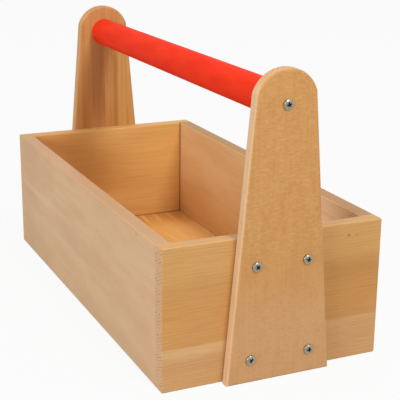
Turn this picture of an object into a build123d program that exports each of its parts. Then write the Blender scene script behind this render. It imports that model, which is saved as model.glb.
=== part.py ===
"""Open wooden tool tote: a beech tray carried by a red round handle between two tapered uprights.

Frame: millimetres, +Z up, +X along the handle, +Y across the tray. The origin is under the middle of the
tray, on the surface that the tote stands on.

How it is put together:
- Two end boards run the full width of the tray and lap the ends of the two side boards. Each corner is
  glued and held by two hidden dowel pins.
- A plywood bottom lies in a groove all round. The groove is stopped in the end boards, whose end grain
  shows on the sides of the tray.
- An upright stands against each end board and is held by four pan head screws.
- The round handle is butted between the uprights and held by one screw along its axis at each end.
"""

from build123d import *
import math
import os

# ---------------------------------------------------------------- driving dimensions
TRAY_LENGTH = 350.0  # over the end boards
TRAY_WIDTH = 172.0  # over the side boards
TRAY_HEIGHT = 105.0
BOARD = 11.0  # thickness of every board of the tray
BOARD_EDGE_ROUND = 1.2  # sanded edges of the tray

BOTTOM_THICKNESS = 5.0
BOTTOM_TOP = 13.0  # height of the tray's floor
GROOVE_DEPTH = 5.0
GROOVE_PLAY = 0.1  # above and below the bottom, so that it slides in
BOTTOM_PLAY = 0.5  # at each edge of the bottom, room for the wood to move

UPRIGHT_THICKNESS = 9.0
UPRIGHT_FOOT_WIDTH = 81.5
UPRIGHT_TOP_RADIUS = 24.0
UPRIGHT_EDGE_ROUND = 2.0
HANDLE_HEIGHT = 197.0  # centre of the handle, and of the round top of the uprights

HANDLE_DIAMETER = 24.0
HANDLE_END_CHAMFER = 0.6

FOOT_SCREW_ROWS = ((18.0, 46.0), (86.5, 39.5))  # (height, spacing) of each pair of screws
FOOT_SCREW_LENGTH = 17.0
HANDLE_SCREW_LENGTH = 40.0

SCREW_HEAD_DIAMETER = 7.0
SCREW_HEAD_HEIGHT = 2.5
SCREW_CROWN_RADIUS = 6.0  # of the domed top of the pan head
SCREW_RIM_ROUND = 0.5
SCREW_CORE_DIAMETER = 2.3
SCREW_THREAD_DIAMETER = 3.5
SCREW_THREAD_PITCH = 1.6
SCREW_TIP_LENGTH = 2.8
SCREW_NECK_LENGTH = 1.4  # plain part under the head
RECESS_SPAN = 4.0  # cross recess, across its arms
RECESS_ARM_WIDTH = 0.95
RECESS_DEPTH = 1.7
RECESS_BOTTOM_SPAN = 1.6
RECESS_BOTTOM_ARM_WIDTH = 0.5
CLEARANCE_HOLE_DIAMETER = 3.8  # in the uprights
THREADED_HOLE_DIAMETER = 3.6  # in the wood behind them, out to where the thread has cut
THREADED_HOLE_EXTRA = 1.5  # deeper than the screw's tip

PIN_DIAMETER = 6.0
PIN_LENGTH = 25.0
PIN_DEPTH_IN_END_BOARD = 7.0
PIN_HEIGHTS = (32.0, 80.0)
PIN_FLUTES = 8
PIN_FLUTE_RADIUS = 0.35
PIN_END_CHAMFER = 0.7
PIN_HOLE_EXTRA = 1.0  # room for glue past each end of a pin

# ---------------------------------------------------------------- worked out from them
HALF_LENGTH = TRAY_LENGTH / 2
HALF_WIDTH = TRAY_WIDTH / 2
SIDE_BOARD_LENGTH = TRAY_LENGTH - 2 * BOARD
INSIDE_WIDTH = TRAY_WIDTH - 2 * BOARD
BOTTOM_MIDDLE = BOTTOM_TOP - BOTTOM_THICKNESS / 2
GROOVE_WIDTH = BOTTOM_THICKNESS + 2 * GROOVE_PLAY
PIN_MIDDLE_X = HALF_LENGTH - BOARD + PIN_DEPTH_IN_END_BOARD - PIN_LENGTH / 2
PIN_Y = HALF_WIDTH - BOARD / 2
SIDES = (("left", -1), ("right", 1))  # seen from the end that shows in front, +X
ENDS = (("front", 1), ("rear", -1))


def along_x(shape, x, y, z):
    """The shape, made along +Z, turned so that its +Z lies along +X and moved to a point."""
    return Pos(x, y, z) * Rot(0, 90, 0) * shape


def hole_along_x(radius, x_from, x_to, y, z):
    length = x_to - x_from
    return along_x(Cylinder(radius, length), (x_from + x_to) / 2, y, z)


def threaded_hole(end, depth, y, z):
    """The blind hole of a screw, going in from where an upright meets the end board or the handle."""
    outer, inner = end * HALF_LENGTH, end * (HALF_LENGTH - depth)
    return hole_along_x(THREADED_HOLE_DIAMETER / 2, min(outer, inner), max(outer, inner), y, z)


# ---------------------------------------------------------------- tray
def pin_holes():
    """The blind holes of every corner pin, as solids to cut away."""
    reach = PIN_LENGTH / 2 + PIN_HOLE_EXTRA
    holes = []
    for _, end in ENDS:
        for _, side in SIDES:
            for height in PIN_HEIGHTS:
                middle = end * PIN_MIDDLE_X
                y = side * PIN_Y
                holes.append(hole_along_x(PIN_DIAMETER / 2, middle - reach, middle + reach, y, height))
    return holes


def side_board(side):
    """A long board between the end boards. Its lengthwise edges and top are sanded round."""
    board = Box(SIDE_BOARD_LENGTH, BOARD, TRAY_HEIGHT)
    board = fillet(board.edges().filter_by(Axis.X), BOARD_EDGE_ROUND)
    board = Pos(0, side * (HALF_WIDTH - BOARD / 2), TRAY_HEIGHT / 2) * board
    inner_face = side * (HALF_WIDTH - BOARD)
    groove = Pos(0, inner_face, BOTTOM_MIDDLE) * Box(SIDE_BOARD_LENGTH, 2 * GROOVE_DEPTH, GROOVE_WIDTH)
    return board - groove - pin_holes()


def foot_screw_places():
    """(row, side, y, z) of the four screws of one upright."""
    for row, (height, spacing) in zip(("low", "high"), FOOT_SCREW_ROWS):
        for name, side in SIDES:
            yield row, name, side * spacing / 2, height


def inner_top_round(end):
    """What sanding takes off the inner top edge of an end board, between the side boards."""
    inner_face = end * (HALF_LENGTH - BOARD)
    square = Pos(inner_face, 0, TRAY_HEIGHT) * Box(2 * BOARD_EDGE_ROUND, INSIDE_WIDTH, 2 * BOARD_EDGE_ROUND)
    middle = (inner_face + end * BOARD_EDGE_ROUND, 0, TRAY_HEIGHT - BOARD_EDGE_ROUND)
    return square - Pos(*middle) * Rot(90, 0, 0) * Cylinder(BOARD_EDGE_ROUND, INSIDE_WIDTH)


def end_board(end):
    """A full-width board across the ends of the side boards, sanded round where it shows."""
    board = Box(BOARD, TRAY_WIDTH, TRAY_HEIGHT)
    joint_face = board.faces().sort_by(Axis.X)[0 if end > 0 else -1]
    shown_edges = [edge for edge in board.edges() if edge not in joint_face.edges()]
    board = fillet(shown_edges, BOARD_EDGE_ROUND)
    board = Pos(end * (HALF_LENGTH - BOARD / 2), 0, TRAY_HEIGHT / 2) * board
    groove_outline = SlotCenterToCenter(INSIDE_WIDTH + 2 * GROOVE_DEPTH, GROOVE_WIDTH)
    groove = extrude(Plane.YZ * groove_outline, GROOVE_DEPTH, both=True)
    groove = Pos(end * (HALF_LENGTH - BOARD), 0, BOTTOM_MIDDLE) * groove
    depth = FOOT_SCREW_LENGTH - UPRIGHT_THICKNESS + THREADED_HOLE_EXTRA
    holes = [threaded_hole(end, depth, y, z) for _, _, y, z in foot_screw_places()]
    return board - inner_top_round(end) - groove - holes - pin_holes()


def bottom_panel():
    """The plywood floor of the tray, held in the grooves."""
    length = SIDE_BOARD_LENGTH + 2 * (GROOVE_DEPTH - BOTTOM_PLAY)
    width = INSIDE_WIDTH + 2 * (GROOVE_DEPTH - BOTTOM_PLAY)
    return Pos(0, 0, BOTTOM_MIDDLE) * Box(length, width, BOTTOM_THICKNESS)


def corner_pin(end, side, height):
    """A fluted dowel pin with chamfered ends, lying along X."""
    pin = Cylinder(PIN_DIAMETER / 2, PIN_LENGTH)
    pin = chamfer(pin.edges().filter_by(GeomType.CIRCLE), PIN_END_CHAMFER)
    for number in range(PIN_FLUTES):
        turn = Rot(0, 0, 360 / PIN_FLUTES * number)
        pin -= turn * Pos(PIN_DIAMETER / 2, 0, 0) * Cylinder(PIN_FLUTE_RADIUS, PIN_LENGTH)
    return along_x(pin, end * PIN_MIDDLE_X, side * PIN_Y, height)


# ---------------------------------------------------------------- uprights and handle
def upright(end):
    """A tapered board with a round top. Its sides are tangent to the top's circle."""
    half_foot = UPRIGHT_FOOT_WIDTH / 2
    slant = math.atan2(HANDLE_HEIGHT, half_foot)
    turn = math.asin(UPRIGHT_TOP_RADIUS / math.hypot(half_foot, HANDLE_HEIGHT))
    normal = math.pi / 2 - slant + turn  # of the tapered side, above the horizontal
    tangent_y = UPRIGHT_TOP_RADIUS * math.cos(normal)
    tangent_z = HANDLE_HEIGHT + UPRIGHT_TOP_RADIUS * math.sin(normal)
    top_z = HANDLE_HEIGHT + UPRIGHT_TOP_RADIUS
    outline = Polyline((-tangent_y, tangent_z), (-half_foot, 0), (half_foot, 0), (tangent_y, tangent_z))
    outline += ThreePointArc((tangent_y, tangent_z), (0, top_z), (-tangent_y, tangent_z))
    board = extrude(Plane.YZ * make_face(outline), UPRIGHT_THICKNESS / 2, both=True)
    edges_across = board.edges().filter_by(Axis.X)
    board = fillet(board.edges() - edges_across, UPRIGHT_EDGE_ROUND)
    middle = end * (HALF_LENGTH + UPRIGHT_THICKNESS / 2)
    board = Pos(middle, 0, 0) * board
    radius, reach = CLEARANCE_HOLE_DIAMETER / 2, UPRIGHT_THICKNESS
    holes = [hole_along_x(radius, middle - reach, middle + reach, y, z) for _, _, y, z in foot_screw_places()]
    holes.append(hole_along_x(radius, middle - reach, middle + reach, 0, HANDLE_HEIGHT))
    return board - holes


def handle():
    """The round handle, with the hole of its screw in each end."""
    bar = Cylinder(HANDLE_DIAMETER / 2, TRAY_LENGTH)
    bar = chamfer(bar.edges().filter_by(GeomType.CIRCLE), HANDLE_END_CHAMFER)
    bar = along_x(bar, 0, 0, HANDLE_HEIGHT)
    depth = HANDLE_SCREW_LENGTH - UPRIGHT_THICKNESS + THREADED_HOLE_EXTRA
    return bar - [threaded_hole(end, depth, 0, HANDLE_HEIGHT) for _, end in ENDS]


# ---------------------------------------------------------------- screws
def screw_body(length):
    """Head, core and point of a pan head wood screw: the head above Z 0, the point at -length."""
    head, core = SCREW_HEAD_DIAMETER / 2, SCREW_CORE_DIAMETER / 2
    point_start = SCREW_TIP_LENGTH - length
    crown_centre = SCREW_HEAD_HEIGHT - SCREW_CROWN_RADIUS
    crown_turn = math.asin(head / SCREW_CROWN_RADIUS)  # from the axis to the crown's edge

    def on_crown(turn):
        return SCREW_CROWN_RADIUS * math.sin(turn), crown_centre + SCREW_CROWN_RADIUS * math.cos(turn)

    half = Polyline(on_crown(0), (0, -length), (core, point_start), (core, 0), (head, 0), on_crown(crown_turn))
    half += ThreePointArc(on_crown(crown_turn), on_crown(crown_turn / 2), on_crown(0))
    body = revolve(Plane.XZ * make_face(half), Axis.Z)
    rim = body.edges().filter_by(lambda edge: edge.is_closed).sort_by(Axis.Z)[-1]
    return fillet(rim, SCREW_RIM_ROUND)


def screw_thread(length):
    """The ridge of the thread, wound round the core from near the point to the neck."""
    core, crest = SCREW_CORE_DIAMETER / 2, SCREW_THREAD_DIAMETER / 2
    root = core * 0.8  # the ridge starts inside the core
    half_root, half_crest = SCREW_THREAD_PITCH * 0.24, SCREW_THREAD_PITCH * 0.04
    start = -(length - SCREW_TIP_LENGTH) + half_root
    height = -SCREW_NECK_LENGTH - start
    path = Helix(SCREW_THREAD_PITCH, height, core)
    ridge = Polyline(
        (root, -half_root), (crest, -half_crest), (crest, half_crest), (root, half_root), (root, -half_root)
    )
    section = Plane.XZ * make_face(ridge)
    return Pos(0, 0, start) * sweep(section, path=path, is_frenet=True)


def cross_recess():
    """The two arms of the cross that a screwdriver turns, narrowing towards their bottom."""
    mouth = Pos(0, 0, SCREW_HEAD_HEIGHT) * Rectangle(RECESS_SPAN, RECESS_ARM_WIDTH)
    bottom = Rectangle(RECESS_BOTTOM_SPAN, RECESS_BOTTOM_ARM_WIDTH)
    bottom = Pos(0, 0, SCREW_HEAD_HEIGHT - RECESS_DEPTH) * bottom
    arm = loft([mouth.face(), bottom.face()], ruled=True)
    return [arm, Rot(0, 0, 90) * arm]


def wood_screw(length):
    return screw_body(length) - cross_recess() + screw_thread(length)


def place_screw(screw, end, y, z, turn):
    """The screw driven from outside into an upright, with its recess turned by an angle."""
    outer_face = end * (HALF_LENGTH + UPRIGHT_THICKNESS)
    return Pos(outer_face, y, z) * Rot(0, end * 90, 0) * Rot(0, 0, turn) * screw


# ---------------------------------------------------------------- every piece by name
def pieces():
    made = {"bottom_panel": bottom_panel(), "handle": handle()}
    foot_screw, handle_screw = wood_screw(FOOT_SCREW_LENGTH), wood_screw(HANDLE_SCREW_LENGTH)
    turn, turn_step = 20, 37  # no two recesses stopped at the same angle
    for name, side in SIDES:
        made[f"side_board_{name}"] = side_board(side)
    for end_name, end in ENDS:
        made[f"end_board_{end_name}"] = end_board(end)
        made[f"upright_{end_name}"] = upright(end)
        made[f"handle_screw_{end_name}"] = place_screw(handle_screw, end, 0, HANDLE_HEIGHT, turn)
        for row, side_name, y, z in foot_screw_places():
            turn += turn_step
            made[f"upright_screw_{end_name}_{row}_{side_name}"] = place_screw(foot_screw, end, y, z, turn)
        for side_name, side in SIDES:
            for number, height in enumerate(PIN_HEIGHTS, 1):
                made[f"corner_pin_{end_name}_{side_name}_{number}"] = corner_pin(end, side, height)
    return made


def main():
    os.makedirs("parts", exist_ok=True)
    for name, shape in pieces().items():
        export_step(shape, f"parts/{name}.step")
        print(f"{name}: {len(shape.solids())} solid, {shape.volume:.0f} mm3")


main()
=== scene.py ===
# %% [markdown]
# # A wooden tool tote in beech, with a red handle
# The tote is a glued beech tray. A tapered upright is screwed to each end, and a round red handle joins them.
# Every board, screw and pin arrives from the construction model at its real size and in its real place. What
# is left for this file is what the hand and the eye notice: the grain of each board, the lacquer, the bright
# plating of the screws, the light, and the camera.

# %% Load the construction
import math

import bmesh
import bpy
from mathutils import Matrix, Quaternion, Vector


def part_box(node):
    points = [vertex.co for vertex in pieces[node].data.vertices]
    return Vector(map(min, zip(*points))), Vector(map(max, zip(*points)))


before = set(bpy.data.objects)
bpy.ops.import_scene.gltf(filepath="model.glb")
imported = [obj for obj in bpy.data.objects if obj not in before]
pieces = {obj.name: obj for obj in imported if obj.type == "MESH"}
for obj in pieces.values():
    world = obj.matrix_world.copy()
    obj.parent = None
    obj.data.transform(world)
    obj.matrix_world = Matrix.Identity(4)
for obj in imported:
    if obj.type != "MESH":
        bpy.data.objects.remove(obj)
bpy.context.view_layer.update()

# %% [markdown]
# ## Small helpers
# A paint chart gives colours as hex values, which are sRGB. Shaders count in linear light, so one function
# turns a hex value to linear. A material is a handful of nodes, so one function adds a node, sets it, wires
# it and hands back the output that the next node needs. A node could also be added by hand, line by line, but
# then the wiring hides what the material is made of.
# Two settings come back all the time: a smooth step from one range of values to another, and a product. They
# get a name, so that a line that uses one stays short. Colours go on in layers, as they do on a real surface,
# and one loop lays any number of them.

# %% Helpers
MM = 0.001
SMOOTH = {"interpolation_type": "SMOOTHSTEP"}  # Map Range: value, from low, from high, to low, to high
PRODUCT = {"operation": "MULTIPLY"}
MIX_SHARE, MIX_UNDER, MIX_OVER, MIXED = 0, 6, 7, 2  # sockets and output of a Mix node set to colours


def linear(hex_colour):
    """An sRGB hex value such as C8A078 as linear red, green, blue and an alpha of 1."""
    channels = []
    for start in (0, 2, 4):
        value = int(hex_colour[start : start + 2], 16) / 255
        channels.append(value / 12.92 if value <= 0.04045 else ((value + 0.055) / 1.055) ** 2.4)
    return (*channels, 1.0)


def add(tree, kind, output, sockets=(), **settings):
    """Adds a node and returns one of its outputs. sockets is a list in the node's order, or a dictionary.

    Each socket gets a value, or the output that is linked to it.
    """
    node = tree.nodes.new("ShaderNode" + kind)
    for name, value in settings.items():
        setattr(node, name, value)
    for socket, value in sockets.items() if isinstance(sockets, dict) else enumerate(sockets):
        if isinstance(value, bpy.types.NodeSocket):
            tree.links.new(value, node.inputs[socket])
        else:
            node.inputs[socket].default_value = value
    return node.outputs[output] if output is not None else node


def layered(tree, ground, layers):
    """The ground colour under layers of paint. A layer is its colour, and how much of it lies where."""
    colour = linear(ground)
    for over, share in layers:
        sockets = {MIX_SHARE: share, MIX_UNDER: colour, MIX_OVER: linear(over)}
        colour = add(tree, "Mix", MIXED, sockets, data_type="RGBA")
    return colour


def new_material(name):
    """An empty node material and its tree, ready for a shader."""
    material = bpy.data.materials.new(name)
    material.use_nodes = True
    material.node_tree.nodes.clear()
    return material, material.node_tree


print("beech tan in linear light:", [round(channel, 3) for channel in linear("CFA070")])

# %% [markdown]
# ## The camera
# The photograph was taken from above the rim, looking along the tote from its front left corner. The lens is
# long for the distance, so the far upright looks only a third smaller than the near one.
# A camera can be placed by eye. Here its place, its heading and its roll are set as measured values, because
# the edges of a box give them away to a fraction of a degree.

# %% Camera
CAMERA_PLACE = Vector((0.7795, -0.3358, 0.3391))  # metres
CAMERA_AZIMUTH = 65.36  # degrees: 0 looks along +Y and 90 along -X
CAMERA_ELEVATION = 17.00
CAMERA_ROLL = 0.57
CAMERA_LENS = 95.3  # millimetres
SENSOR_WIDTH = 36


def make_camera():
    data = bpy.data.cameras.new("camera")
    data.lens = CAMERA_LENS
    data.sensor_width = SENSOR_WIDTH
    data.clip_start = 0.05
    camera = bpy.data.objects.new("camera", data)
    bpy.context.scene.collection.objects.link(camera)
    azimuth, elevation = math.radians(CAMERA_AZIMUTH), math.radians(CAMERA_ELEVATION)
    level = math.cos(elevation)
    back = Vector((math.sin(azimuth) * level, -math.cos(azimuth) * level, math.sin(elevation)))
    turn = (-back).to_track_quat("-Z", "Y") @ Quaternion((0, 0, 1), math.radians(CAMERA_ROLL))
    camera.matrix_world = Matrix.LocRotScale(CAMERA_PLACE, turn, None)
    bpy.context.scene.camera = camera
    return camera


camera = make_camera()
print("camera at", [round(value, 3) for value in camera.matrix_world.translation])

# %% [markdown]
# ## The grain of beech
# Beech is a pale, close wood. Three things make it look like beech and not like plain tan paint.
# - Growth rings: thin darker lines, some two millimetres apart where a board shows them edge on.
# - Fibre streaks: faint lighter and darker threads that run with the grain for several centimetres.
# - Ray flecks: short brown dashes. They run with the grain on a flat sawn face, and across it on a quartered
#   one.
#
# A photograph of wood could be wrapped round each board, but its grain would not follow from the face of a
# board to its end. A solid pattern does: it is worked out in the wood's own space, so an end grain shows the
# same rings as the face beside it. Each board gets its own cut of that pattern, by a turn and a shift of its
# coordinates. Streaks are noise that is stretched along the grain, as the fibres are.

# %% The wood's own space
TURN_TO_GRAIN = {  # rotation that lays each direction of the grain along the pattern's Z
    "X": (0, math.radians(-90), 0),
    "Y": (math.radians(90), 0, 0),
    "Z": (0, 0, 0),
}
TO_MM = (1000, 1000, 1000)  # Object coordinates are in metres


def wood_space(tree, grain, shift):
    """Object coordinates in millimetres with Z along the grain, moved by shift to another cut of the log."""
    place = add(tree, "TexCoord", "Object")
    turned = {"Vector": place, "Scale": TO_MM, "Rotation": TURN_TO_GRAIN[grain], "Location": shift}
    return add(tree, "Mapping", 0, turned)


def stretched_noise(tree, place, across, along, detail=2.0, roughness=0.5):
    """Noise whose blotches measure about across by along millimetres."""
    cell = add(tree, "Mapping", 0, {"Vector": place, "Scale": (1 / across, 1 / across, 1 / along)})
    sockets = {"Vector": cell, "Scale": 1.0, "Detail": detail, "Roughness": roughness}
    return add(tree, "TexNoise", "Fac", sockets)


print("the grain can run along", *TURN_TO_GRAIN)

# %% [markdown]
# ## Rings and rays
# A growth ring is a slow rise from early wood to a thin dark line of late wood, and then a sudden stop. A
# Wave Texture with a saw profile round a line far from the board gives just that. A second noise breaks the
# lines up, because on real beech they fade in and out.
# A ray fleck is a separate short dash, so noise would be the wrong start. A Voronoi Texture gives each dash a
# cell of its own, and the cell's random colour decides which cells carry one.

# %% Rings and rays
LATE_WOOD = (0.45, 0.95)  # part of the saw's rise in which a ring turns dark
RING_GAPS = (0.42, 0.62)  # noise values between which a ring comes back
RING_GAP_SIZE = (5, 45)
FLECK_CORE = (0.18, 0.42)  # distance from a cell's point, in cells
FAINT_FLECKS = 0.1  # part of the cells whose fleck comes up only faintly
WAVE_PER_MM = 0.1 * math.pi  # scale at which a Wave Texture repeats once in each unit


def growth_rings(tree, place, pith, period, wobble):
    """0 in the early wood and 1 on the thin late wood line of each ring, round a pith that lies along Z."""
    centred = add(tree, "Mapping", 0, {"Vector": place, "Location": pith})
    waves = {"Vector": centred, "Scale": WAVE_PER_MM / period, "Distortion": wobble, "Detail": 1.5,
             "Detail Scale": 0.35}
    rise = add(tree, "TexWave", "Fac", waves, wave_type="RINGS", rings_direction="Z", wave_profile="SAW")
    line = add(tree, "MapRange", 0, (rise, *LATE_WOOD, 0, 1), **SMOOTH)
    gaps = stretched_noise(tree, place, *RING_GAP_SIZE)
    unbroken = add(tree, "MapRange", 0, (gaps, *RING_GAPS, 0, 1), **SMOOTH)
    return add(tree, "Math", 0, (line, unbroken), **PRODUCT)


def ray_flecks(tree, place, size, share, seed):
    """1 on short spindle-shaped dashes of about that size in millimetres, in that share of the cells."""
    scale = [1 / side for side in size]
    cells = add(tree, "Mapping", 0, {"Vector": place, "Scale": scale, "Location": (seed, seed, seed)})
    distance = add(tree, "TexVoronoi", "Distance", {"Vector": cells, "Scale": 1.0, "Randomness": 1.0})
    core = add(tree, "MapRange", 0, (distance, *FLECK_CORE, 1, 0), **SMOOTH)
    lot = add(tree, "SeparateColor", 0, (distance.node.outputs["Color"],))
    chosen = add(tree, "MapRange", 0, (lot, 1 - share, 1 - share + FAINT_FLECKS, 0, 1), **SMOOTH)
    return add(tree, "Math", 0, (core, chosen), **PRODUCT)


print("one wave of the saw for each ring, one cell for each fleck")

# %% [markdown]
# ## Marks that belong to one board
# No two boards of a real tote look alike. One has a light band, one a sharp seam where two staves were glued.
# Other marks are painted light and shade: an edge painted darker or paler where the lamps light it more or
# less, a corner or a floor painted lighter or darker against the shade inside the tray. Such marks could be
# drawn on a picture and projected, but they would then sit on one face only.
# Here each mark is one layer of paint over the wood's tone: its colour, and where it lies in millimetres on
# the tote. A board takes a list of them, so a mark can be moved or left out without touching the grain. A
# zone's border can follow the grain: a slow noise shifts it by up to its wave.

# %% Marks with a place or a side
BORDER_DRIFT = (14, 130)  # size of the swings in a zone's border, across and along the grain
SIDE_FACING = (0.45, 0.95)  # how square a face has to be to an axis before it takes that side's tone


def facing(tree, axis):
    """1 where the surface faces along the axis or against it, 0 where it is square to it."""
    normal = add(tree, "TexCoord", "Normal")
    along = add(tree, "VectorMath", "Value", (normal, axis), operation="DOT_PRODUCT")
    return add(tree, "Math", 0, (along,), operation="ABSOLUTE")


def between(tree, value, low, high, soft):
    """1 between low and high and 0 outside them, with borders that are twice soft wide."""
    rise = add(tree, "MapRange", 0, (value, low - soft, low + soft, 0, 1), **SMOOTH)
    fall = add(tree, "MapRange", 0, (value, high - soft, high + soft, 1, 0), **SMOOTH)
    return add(tree, "Math", 0, (rise, fall), **PRODUCT)


def paint_side_tone_and_light(colour, share, axis):
    """Another tone on the faces square to an axis: an end grain's own tone, or painted shade or painted
    light.
    """

    def layer(tree, place, spot):
        return colour, add(tree, "MapRange", 0, (facing(tree, axis), *SIDE_FACING, 0, share), **SMOOTH)

    return layer


def paint_zone(colour, share, wave=0.0, **limits):
    """Another tone in part of a board. X, Y and Z each give its low side, high side and softness in mm."""

    def layer(tree, place, spot):
        inside = share
        drift = stretched_noise(tree, place, *BORDER_DRIFT)
        for axis, (low, high, soft) in limits.items():
            here = add(tree, "SeparateXYZ", axis, (spot,))
            drifted = add(tree, "Math", 0, (drift, 2 * wave, here), operation="MULTIPLY_ADD")
            band = between(tree, drifted, low + wave, high + wave, soft)
            inside = add(tree, "Math", 0, (inside, band), **PRODUCT)
        return colour, inside

    return layer


print("marks:", paint_side_tone_and_light.__name__, paint_zone.__name__)

# %% [markdown]
# ## Dashes and knots
# Where a board is cut straight towards the heart of the log, its rays lie in the face and run into each other
# as a mesh of short dashes across the grain. Flecks in cells of their own would look like confetti there, so
# the mesh is a noise that is wide across the grain and short along it.
# A pin knot is one small spot. It is a stretched ball: the distance from its middle, with a soft rim.

# %% Marks with a shape
MESH_DASHES = (0.47, 0.68)  # noise values between which a dash comes up
MESH_BORDER = 20  # millimetres
KNOT_RIM = (0.4, 1.0)


def paint_mesh(colour, share, size, low, high):
    """Dashes that run into each other, size across and along the grain, between two heights of an upright."""

    def layer(tree, place, spot):
        noise = stretched_noise(tree, place, *size, detail=1.5)
        dashes = add(tree, "MapRange", 0, (noise, *MESH_DASHES, 0, share), **SMOOTH)
        band = between(tree, add(tree, "SeparateXYZ", "Z", (spot,)), low, high, MESH_BORDER)
        return colour, add(tree, "Math", 0, (dashes, band), **PRODUCT)

    return layer


def paint_knot(colour, share, centre, size):
    """A pin knot: a small spot with a soft rim. centre and size are given along X, Y and Z in millimetres."""

    def layer(tree, place, spot):
        scale = [1 / side for side in size]
        shift = [-middle / side for middle, side in zip(centre, size)]
        local = add(tree, "Mapping", 0, {"Vector": spot, "Scale": scale, "Location": shift})
        reach = add(tree, "VectorMath", "Value", (local,), operation="LENGTH")
        spread = add(tree, "MapRange", 0, (reach, *KNOT_RIM, 1, 0), **SMOOTH)
        return colour, add(tree, "Math", 0, (share, spread), **PRODUCT)

    return layer


print("marks:", paint_mesh.__name__, paint_knot.__name__)

# %% [markdown]
# ## A beech board
# The wood is European beech, planed, sanded and given one thin coat of clear matt varnish. To the eye that is
# a close, even tan with a soft sheen and no mirror in it, so the roughness is near 0.5. The flecks stay open
# under the varnish, and the bump map dips at them by a few hundredths of a millimetre.
# The colour is built like the wood is: a slow mix of two tones, the board's own marks, the end grain, then
# the fibre streaks, the rings and the flecks on top. End grain drinks varnish, so the rings are deeper there:
# their strength at_ends is the higher one. One function mixes any board from its own numbers, which keeps the
# boards related but never the same.
# Real fibres are 0.2 mm wide, which is finer than a pixel here. The streaks are drawn at 1 to 2 mm so that
# they still show.

# %% One board of beech
VARNISHED_BEECH = {"Roughness": 0.5, "IOR": 1.5, "Specular IOR Level": 0.3}
PORE_DEPTH = 0.04 * MM
GRAIN_AXIS = {"X": (1, 0, 0), "Y": (0, 1, 0), "Z": (0, 0, 1)}
END_GRAIN_SHARE = 0.75
TONE_RANGE = (0.36, 0.66)  # noise values between which pale wood turns to warm wood
FIBRE_RANGE = (0.40, 0.74)
END_GRAIN_RANGE = (0.6, 0.95)  # how far a surface faces along the grain


def beech(name, grain, shift, colours, rings, flecks, streaks, tone_size=(26, 110), marks=()):
    """Varnished solid beech. colours are the pale, warm, dark and end grain tones, from the ground up."""
    material, tree = new_material(name)
    pale, warm, dark, end_grain = colours
    place = wood_space(tree, grain, shift)
    spot = add(tree, "Mapping", 0, {"Vector": add(tree, "TexCoord", "Object"), "Scale": TO_MM})

    tone = stretched_noise(tree, place, *tone_size, detail=3.0)
    tone = add(tree, "MapRange", 0, (tone, *TONE_RANGE, 0, 1), **SMOOTH)
    fibres = stretched_noise(tree, place, *streaks["size"], detail=4.0, roughness=0.6)
    fibres = add(tree, "MapRange", 0, (fibres, *FIBRE_RANGE, 0, streaks["strength"]), **SMOOTH)
    ring = growth_rings(tree, place, rings["pith"], rings["period"], rings["wobble"])
    depths = (rings["strength"], rings["at_ends"])
    depth = add(tree, "MapRange", 0, (facing(tree, GRAIN_AXIS[grain]), *END_GRAIN_RANGE, *depths), **SMOOTH)
    ring = add(tree, "Math", 0, (ring, depth), **PRODUCT)
    fleck = ray_flecks(tree, place, flecks["size"], flecks["share"], shift[0])
    fleck = add(tree, "Math", 0, (fleck, flecks["strength"]), **PRODUCT)

    sawn_ends = paint_side_tone_and_light(end_grain, END_GRAIN_SHARE, GRAIN_AXIS[grain])
    layers = [(warm, tone)]
    layers += [mark(tree, place, spot) for mark in (*marks, sawn_ends)]
    layers += [(dark, fibres), (dark, ring), (flecks["colour"], fleck)]

    height = add(tree, "Math", 0, (1.0, fleck), operation="SUBTRACT")
    bump = add(tree, "Bump", 0, {"Strength": 0.6, "Distance": PORE_DEPTH, "Height": height})
    varnish = {"Base Color": layered(tree, pale, layers), "Normal": bump, **VARNISHED_BEECH}
    add(tree, "OutputMaterial", None, (add(tree, "BsdfPrincipled", 0, varnish),))
    return material


def cover(node, material):
    """Gives a piece of the construction its finish."""
    data = pieces[node].data
    data.materials.clear()
    data.materials.append(material)


print("varnish:", VARNISHED_BEECH)

# %% [markdown]
# ## The tray's long sides
# The two side boards are the palest wood of the tote, a greyish beige. They are cut flat from the log, so
# their rings open into broad faint bands, and their rays end as tiny dashes along the grain.
# The left board shows its outer face with two lighter bands, a few darker strands and two specks near its top
# corner. The right one shows its inner face, with one darker area low at the far end. Low towards the far end
# and at the near end its inner face is painted lighter: painted light against the shade inside the tray. The
# top edges are painted a shade darker than the faces: painted shade against the lamps from above.

# %% Side boards
FLAT_FLECKS = {"size": (0.9, 0.9, 3.4), "share": 0.16, "strength": 0.22, "colour": "94684A"}

side_left = beech(
    "varnished_beech_pale", "X", (11, 40, 0), ("D2AC80", "CEA377", "B48B66", "CFA987"),
    {"pith": (20, 140, 0), "period": 7.0, "wobble": 2.2, "strength": 0.12, "at_ends": 0.3}, FLAT_FLECKS,
    {"size": (1.5, 50), "strength": 0.12}, tone_size=(13, 45),
    marks=(
        paint_zone("C0976A", 0.50, X=(-180, -110, 45)),
        # painted shade: the top edge a shade darker, against the lamps from above
        paint_side_tone_and_light("BC9268", 0.55, (0, 0, 1)),
        paint_zone("DFC3A0", 0.30, wave=7, Z=(58, 67, 3), X=(-175, -40, 40)),
        paint_zone("DCBF9B", 0.24, wave=7, Z=(36, 44, 4), X=(-150, 60, 50)),
        paint_zone("BF9068", 0.20, wave=8, Z=(40, 60, 7), X=(-90, 40, 40)),
        paint_zone("B98B64", 0.20, wave=7, Z=(30, 40, 4), X=(30, 165, 30)),
        paint_knot("7E5636", 0.7, (165, -86, 101.5), (2.0, 4, 0.9)),
        paint_knot("7E5636", 0.5, (129, -86, 101.0), (2.4, 4, 0.8)),
    ),
)
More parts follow.
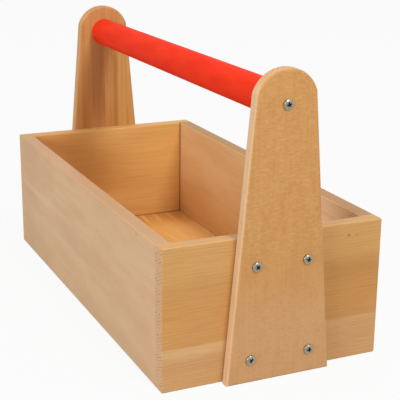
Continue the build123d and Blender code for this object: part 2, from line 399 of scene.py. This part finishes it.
side_right = beech(
    "varnished_beech_rose", "X", (-30, 85, 300), ("E5BE8C", "DFB47E", "C49060", "D8B48C"),
    {"pith": (-15, 120, 0), "period": 8.0, "wobble": 2.6, "strength": 0.14, "at_ends": 0.3}, FLAT_FLECKS,
    {"size": (1.8, 70), "strength": 0.14}, tone_size=(18, 80),
    marks=(
        # painted light: the lower inner face towards the far end, lifted against the shade inside the tray
        paint_zone("F4CC94", 0.70, wave=6, Z=(8, 60, 16), X=(-175, -20, 40)),
        # painted light: the near end of the inner face, lifted where the front end board shades it
        paint_zone("FFE2BA", 0.75, X=(95, 190, 30), Z=(40, 104, 20)),
        paint_zone("C9905A", 0.25, wave=10, Z=(24, 62, 9), X=(-150, -95, 22)),
        # painted shade: the top edge darker, against the lamps from above
        paint_side_tone_and_light("A67A44", 0.90, (0, 0, 1)),
    ),
)
cover("side_board_left", side_left)
cover("side_board_right", side_right)
print("side boards:", side_left.name, side_right.name)

# %% [markdown]
# ## The tray's ends
# Each end board covers the ends of the two sides, so its own end grain shows on the tote's long faces. The
# front one is glued up from two staves: a golden one with close, straight rings, and below 32 mm a lighter
# one. The glue line between them is sharp, so that zone's border is only a few millimetres wide. Two pin
# knots sit near the top of its right half, and its top edge is painted a little paler, a painted highlight.
# The rear one shows its inner face, warm and smooth. Its corner by the right side is painted lighter, which
# is painted light against the corner's shade, and a thin dark line of painted shade lies where it meets the
# bottom and the right side.

# %% End boards
end_front = beech(
    "varnished_beech_golden", "Y", (7, 3, 900), ("C99658", "C28E4F", "98642F", "CFA780"),
    {"pith": (0, 420, 0), "period": 2.2, "wobble": 0.7, "strength": 0.17, "at_ends": 0.6}, FLAT_FLECKS,
    {"size": (1.0, 26), "strength": 0.24},
    marks=(
        paint_zone("AC783E", 0.50, Y=(25, 90, 25)),
        paint_zone("CFA062", 0.55, wave=5, Z=(78, 130, 6)),
        paint_zone("C98D4E", 0.35, wave=5, Z=(34, 62, 8)),
        paint_zone("CB9D6A", 0.75, wave=2, Z=(-20, 32.5, 1.6)),
        paint_zone("E0BC8A", 0.30, wave=5, Z=(25, 33, 2.0), Y=(-86, 30, 14)),
        paint_zone("BE8C5C", 0.30, wave=3, Z=(14, 22, 3)),
        # painted highlight: the top edge a little paler, where the light from above falls
        paint_side_tone_and_light("E8C090", 0.22, (0, 0, 1)),
        paint_knot("8A5A2C", 0.65, (175, 58.4, 95.7), (6, 1.7, 1.5)),
        paint_knot("8A5A2C", 0.35, (175, 64.8, 95.2), (6, 1.6, 1.2)),
    ),
)
end_rear = beech(
    "varnished_beech_amber", "Y", (61, 18, 500), ("DAA864", "D3A05A", "A87238", "CFA780"),
    {"pith": (0, 400, 0), "period": 2.6, "wobble": 0.8, "strength": 0.12, "at_ends": 0.6}, FLAT_FLECKS,
    {"size": (2.2, 50), "strength": 0.20},
    marks=(
        paint_zone("B97C40", 0.60, wave=6, Z=(84, 104, 8), Y=(-90, -20, 25)),
        paint_zone("B97C40", 0.35, wave=6, Z=(30, 90, 12), Y=(-60, 10, 20)),
        paint_zone("E8B870", 0.50, wave=5, Z=(28, 42, 6)),
        # painted light: the corner by the right side lighter, against the shade in the corner
        paint_zone("E8B66C", 0.50, X=(-170, -160, 1), Y=(35, 90, 22), Z=(0, 92, 10)),
        # painted shade: thin dark lines in the joints with the right side and the bottom
        paint_zone("6E4218", 0.60, X=(-165, -160, 0.3), Y=(73.6, 80, 0.4)),
        paint_zone("6E4218", 0.60, X=(-165, -160, 0.3), Z=(0, 14.2, 0.4)),
    ),
)
cover("end_board_front", end_front)
cover("end_board_rear", end_rear)
print("end boards:", end_front.name, end_rear.name)

# %% [markdown]
# ## The uprights
# The front upright is quarter sawn: its face is cut straight towards the heart of the log, so the rays lie in
# it and cross the grain as a mesh of short brown and pale dashes. The mesh is close above the tray's rim and
# fades below it. The narrow sides of both uprights are painted paler, which is painted light from the fill
# lamp on the left, and the foot is a little pinker than the rest. The rear upright is cut flat, with a brown
# streak, a golden band and a dark line between them. The brown streak is partly dark heartwood and partly the
# handle's shadow painted in below the bar.

# %% Uprights
QUARTERED_FLECKS = {"size": (4.6, 4.6, 1.7), "share": 0.30, "strength": 0.22, "colour": "9A6A38"}

upright_front = beech(
    "varnished_beech_quartered", "Z", (3, 12, 40), ("C69155", "C18B51", "A06C38", "D6AB80"),
    {"pith": (0, 300, 0), "period": 3.4, "wobble": 1.2, "strength": 0.08, "at_ends": 0.4}, QUARTERED_FLECKS,
    {"size": (2.2, 40), "strength": 0.10}, tone_size=(9, 24),
    marks=(
        paint_zone("C69A6E", 0.60, wave=10, Z=(-20, 62, 22)),
        paint_zone("CE9852", 0.30, wave=8, Z=(150, 260, 20)),
        paint_mesh("A5713C", 0.26, (3.6, 1.4), 84, 230),
        paint_mesh("D9AC74", 0.22, (5.0, 1.8), 84, 230),
        paint_mesh("AC7C4C", 0.20, (3.5, 2.0), -30, 84),
        # painted light: the narrow sides paler, as the fill lamp lights them
        paint_side_tone_and_light("E8C49C", 0.75, (0, 1, 0)),
    ),
)
upright_rear = beech(
    "varnished_beech_streaked", "Z", (23, 52, 40), ("C68E52", "BC8246", "8A5022", "C08A54"),
    {"pith": (0, 300, 0), "period": 4.4, "wobble": 1.0, "strength": 0.14, "at_ends": 0.4}, FLAT_FLECKS,
    {"size": (2.2, 90), "strength": 0.30},
    marks=(
        # painted shadow, partly dark heartwood: the handle's shadow below the bar
        paint_zone("985A34", 0.60, wave=2, Y=(-13, -1, 2.0), Z=(112, 190, 22)),
        # painted shadow, partly dark heartwood: the band carried lower and to the left, as the handle's
        # shadow drifts
        paint_zone("A8642C", 0.50, wave=3, Y=(-23, -13, 2.0), Z=(40, 172, 16)),
        paint_zone("B67C42", 0.35, wave=2, Y=(-40, -24, 3), Z=(-20, 190, 10)),
        paint_zone("CE9A56", 0.50, wave=1.5, Y=(13, 40, 1.5)),
        paint_zone("9A642A", 0.55, wave=1, Y=(9.0, 12.4, 1.2), Z=(60, 178, 12)),
        paint_zone("CC925A", 0.40, wave=3, Z=(203, 260, 6)),
        # painted light: the narrow sides paler, as the fill lamp lights them
        paint_side_tone_and_light("D9A878", 0.60, (0, 1, 0)),
    ),
)
cover("upright_front", upright_front)
cover("upright_rear", upright_rear)
print("uprights:", upright_front.name, upright_rear.name)

# %% [markdown]
# ## The bottom and the hidden pins
# The bottom is thin beech plywood. Its face veneer was peeled from the turning log, so its rings wander over
# the panel as flames: here the pith lies close to the panel and the rings are wide and strongly disturbed. On
# this veneer the lines are lighter than the ground, so the tone that is dark on the boards is a light one.
# The pins in the tray's corners never saw varnish. They are raw beech, and only show when the tote is taken
# apart.

# %% Bottom and pins
bottom = beech(
    "varnished_beech_plywood", "X", (0, 0, 0), ("ECB05E", "E4A452", "F6D49C", "D8B080"),
    {"pith": (0, 60, 0), "period": 12.0, "wobble": 5.0, "strength": 0.5, "at_ends": 0.5}, FLAT_FLECKS,
    {"size": (1.6, 90), "strength": 0.12},
    marks=(
        # painted shade: the far end darker, to even out the light that falls more fully there
        paint_zone("C4843A", 0.75, wave=4, X=(-180, -138, 22)),
        # painted light: the near right part lighter, where the end board and upright shade it
        paint_zone("FFCE82", 0.60, wave=4, X=(-128, 60, 25), Y=(40, 90, 18)),
    ),
)
raw_beech = beech(
    "raw_beech_dowel", "X", (5, 5, 5), ("D8B88C", "D0AC7C", "A98458", "D8B88C"),
    {"pith": (0, 30, 0), "period": 2.0, "wobble": 1.0, "strength": 0.2, "at_ends": 0.4}, FLAT_FLECKS,
    {"size": (0.8, 30), "strength": 0.2},
)
cover("bottom_panel", bottom)
pins = [node for node in pieces if node.startswith("corner_pin")]
for node in pins:
    cover(node, raw_beech)
print("bottom:", bottom.name, "- pins:", len(pins))

# %% [markdown]
# ## The handle
# The handle is a beech bar in opaque red satin lacquer, sprayed or dipped. Lacquer hides the grain, so wood
# patterns would be wrong here. What shows is a very slight unevenness of the film, some 0.05 mm deep and a
# few millimetres wide, which makes the highlight along the bar soft and not quite straight.

# %% Handle
LACQUER_WAVES = (2.5, 6.0)  # millimetres round the bar and along it
LACQUER_DEPTH = 0.05 * MM
LACQUER_TONES = (0.35, 0.65)  # noise values between which the darker red turns to the lighter one


def red_lacquer():
    material, tree = new_material("red_satin_lacquer")
    place = wood_space(tree, "X", (0, 0, 0))
    tone = stretched_noise(tree, place, 9, 40, detail=3.0)
    tone = add(tree, "MapRange", 0, (tone, *LACQUER_TONES, 0, 1), **SMOOTH)
    colour = layered(tree, "E83014", [("EF3818", tone)])
    film = stretched_noise(tree, place, *LACQUER_WAVES)
    bump = add(tree, "Bump", 0, {"Strength": 0.4, "Distance": LACQUER_DEPTH, "Height": film})
    satin = {"Base Color": colour, "Normal": bump, "Roughness": 0.6, "IOR": 1.45, "Specular IOR Level": 0.07}
    add(tree, "OutputMaterial", None, (add(tree, "BsdfPrincipled", 0, satin),))
    return material


cover("handle", red_lacquer())
print("handle:", pieces["handle"].data.materials[0].name)

# %% [markdown]
# ## The screws
# The screws are steel with a thin bright zinc plate, so they are a metal: a grey base colour, metallic at 1,
# and a roughness of about 0.3, since the plate is bright but not polished. A cross recess is cut into each
# head by the construction model. In a real one light hardly gets in, so the recess lies in shade. That shade
# is
# painted: the recess is painted near black, and a darker ring round it is painted shade that widens it. A
# vertex colour could hold that, but it would need a finer mesh. The head is a ball cap round the screw's own
# axis, so the height over that cap can be worked out from the place alone, and only the recess lies well
# below.

# %% Screws
CROWN_RADIUS = 6.0  # of the ball cap, in millimetres as all of these
RECESS_REACH = (2.2, 2.6)  # from the middle of the head to where an arm of the cross has ended
RECESS_DEPTH = (-0.25, -0.08)  # below the cap, from all dark to not dark
# painted shade round the recess: how far it reaches and how dark it gets
SHADE_RING_REACH = (0.8, 3.0)
SHADE_RING_SHARE = 0.65
BLOOM_SIZE = 1.2  # of the plate's cloudy spots
BLOOM_RANGE = (0.3, 0.7)  # noise values between which the plate turns lighter


def bright_zinc(node):
    """Zinc plate on one screw, with painted shade in its recess, placed from the middle and top of its head.
    """
    material, tree = new_material("bright_zinc_plate_" + node)
    low, high = (Vector(corner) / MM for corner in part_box(node))
    outward = 1 if high.x + low.x > 0 else -1
    crown_top = high.x if outward > 0 else low.x
    middle = (low + high) / 2
    at_crown = {"Vector": add(tree, "TexCoord", "Object"), "Scale": (1000 * outward, 1000, 1000),
                "Location": (-crown_top * outward, -middle.y, -middle.z)}
    local = add(tree, "Mapping", 0, at_crown)  # X is the height above the crown's top
    height = add(tree, "SeparateXYZ", "X", (local,))
    across = add(tree, "Mapping", 0, {"Vector": local, "Scale": (0, 1, 1)})
    reach = add(tree, "VectorMath", "Value", (across,), operation="LENGTH")
    squared = add(tree, "Math", 0, (reach, reach), **PRODUCT)
    over_cap = add(tree, "Math", 0, (squared, 0.5 / CROWN_RADIUS, height), operation="MULTIPLY_ADD")
    in_cross = add(tree, "MapRange", 0, (reach, *RECESS_REACH, 1, 0), **SMOOTH)
    # painted shade in the recess, where light hardly gets in
    recess_shade = add(tree, "MapRange", 0, (over_cap, *RECESS_DEPTH, 1, 0), **SMOOTH)
    recess_shade = add(tree, "Math", 0, (recess_shade, in_cross), **PRODUCT)
    # painted shade: a darker ring round the recess
    shade_ring = add(tree, "MapRange", 0, (reach, *SHADE_RING_REACH, SHADE_RING_SHARE, 0), **SMOOTH)
    bloom = stretched_noise(tree, local, BLOOM_SIZE, BLOOM_SIZE, detail=3.0)
    bloom = add(tree, "MapRange", 0, (bloom, *BLOOM_RANGE, 0, 1), **SMOOTH)

    colour = layered(tree, "948F80", [("B2ADA0", bloom), ("5E5A4E", shade_ring), ("2E2A22", recess_shade)])
    zinc = add(tree, "BsdfPrincipled", 0, {"Base Color": colour, "Metallic": 1.0, "Roughness": 0.28})
    add(tree, "OutputMaterial", None, (zinc,))
    return material


screws = [node for node in pieces if "screw" in node]
for node in screws:
    cover(node, bright_zinc(node))
print("screws:", len(screws))

# %% [markdown]
# ## The floor
# The tote stands on plain white paper. Lighting the paper until it is white would burn out the pale boards
# too. The paper is grey to the light instead, and a Light Path node lets a camera ray see mostly a white
# glow. A small share of the grey stays, so the shadow under the tote is kept. Rays that bounce off metal or
# go through glass are let in on this as well, so that the screws reflect a white room.

# %% Floor
FLOOR_SIZE = 6.0  # metres
FLOOR_GREY = 0.6
GLOW_SHARE = 0.92
WHITE = (1, 1, 1, 1)


def seen_directly(tree):
    """1 for a ray from the camera, off metal or through glass, and 0 for the light that falls on things."""
    seen = add(tree, "LightPath", "Is Camera Ray")
    for ray in ("Is Glossy Ray", "Is Transmission Ray"):
        seen = add(tree, "Math", 0, (seen, add(tree, "LightPath", ray)), operation="MAXIMUM")
    return seen


def make_floor():
    shape = bmesh.new()
    bmesh.ops.create_grid(shape, x_segments=1, y_segments=1, size=FLOOR_SIZE / 2)
    mesh = bpy.data.meshes.new("floor")
    shape.to_mesh(mesh)
    shape.free()
    floor = bpy.data.objects.new("floor", mesh)
    bpy.context.scene.collection.objects.link(floor)
    material, tree = new_material("white_paper")
    paper = add(tree, "BsdfDiffuse", 0, {"Color": (FLOOR_GREY, FLOOR_GREY, FLOOR_GREY, 1)})
    glow = add(tree, "Emission", 0, {"Color": WHITE, "Strength": 1.0})
    glow_share = add(tree, "Math", 0, (seen_directly(tree), GLOW_SHARE), **PRODUCT)
    add(tree, "OutputMaterial", None, (add(tree, "MixShader", 0, (glow_share, paper, glow)),))
    mesh.materials.append(material)
    return floor


floor = make_floor()
print("floor:", [round(side, 1) for side in floor.dimensions], "m")

# %% [markdown]
# ## The light
# The tote was lit like goods for a catalogue, from large soft lamps. A key softbox stands high on the right,
# a fill softbox low on the left, and a wide one hangs overhead. The white room gives the rest, and it is what
# keeps the shadows inside the tray light. The room too looks white to the camera but lights the tote at half
# that. Lamp powers are as low as they can be: the beech renders about as its hex value says, and nothing
# clips.

# %% Light
ROOM_LIGHT = 0.54
LIT_POINT = Vector((0, 0, 0.1))  # the middle of the tray, in metres


def make_world():
    world = bpy.data.worlds.new("studio")
    bpy.context.scene.world = world
    world.use_nodes = True
    tree = world.node_tree
    tree.nodes.clear()
    strength = add(tree, "MapRange", 0, (seen_directly(tree), 0, 1, ROOM_LIGHT, 1))
    back = add(tree, "Background", 0, {"Color": WHITE, "Strength": strength})
    add(tree, "OutputWorld", None, (back,))


def softbox(name, place, size, power):
    """A rectangular lamp that looks at the tote. place and size are in metres, power is in watts."""
    data = bpy.data.lights.new(name, "AREA")
    data.shape = "RECTANGLE"
    data.size, data.size_y = size
    data.energy = power
    lamp = bpy.data.objects.new(name, data)
    bpy.context.scene.collection.objects.link(lamp)
    place = Vector(place)
    turn = (LIT_POINT - place).to_track_quat("-Z", "Y")
    lamp.matrix_world = Matrix.LocRotScale(place, turn, None)
    print(name, "at", [round(value, 2) for value in place], "with", power, "W")


make_world()
softbox("key", (1.86, 0.42, 1.98), (0.7, 0.7), 31.0)
softbox("fill", (1.10, -2.35, 0.90), (0.9, 0.7), 26.0)
softbox("top", (0.3, 0.0, 2.3), (1.6, 1.6), 8.0)

bpy.context.scene.view_settings.view_transform = "Standard"
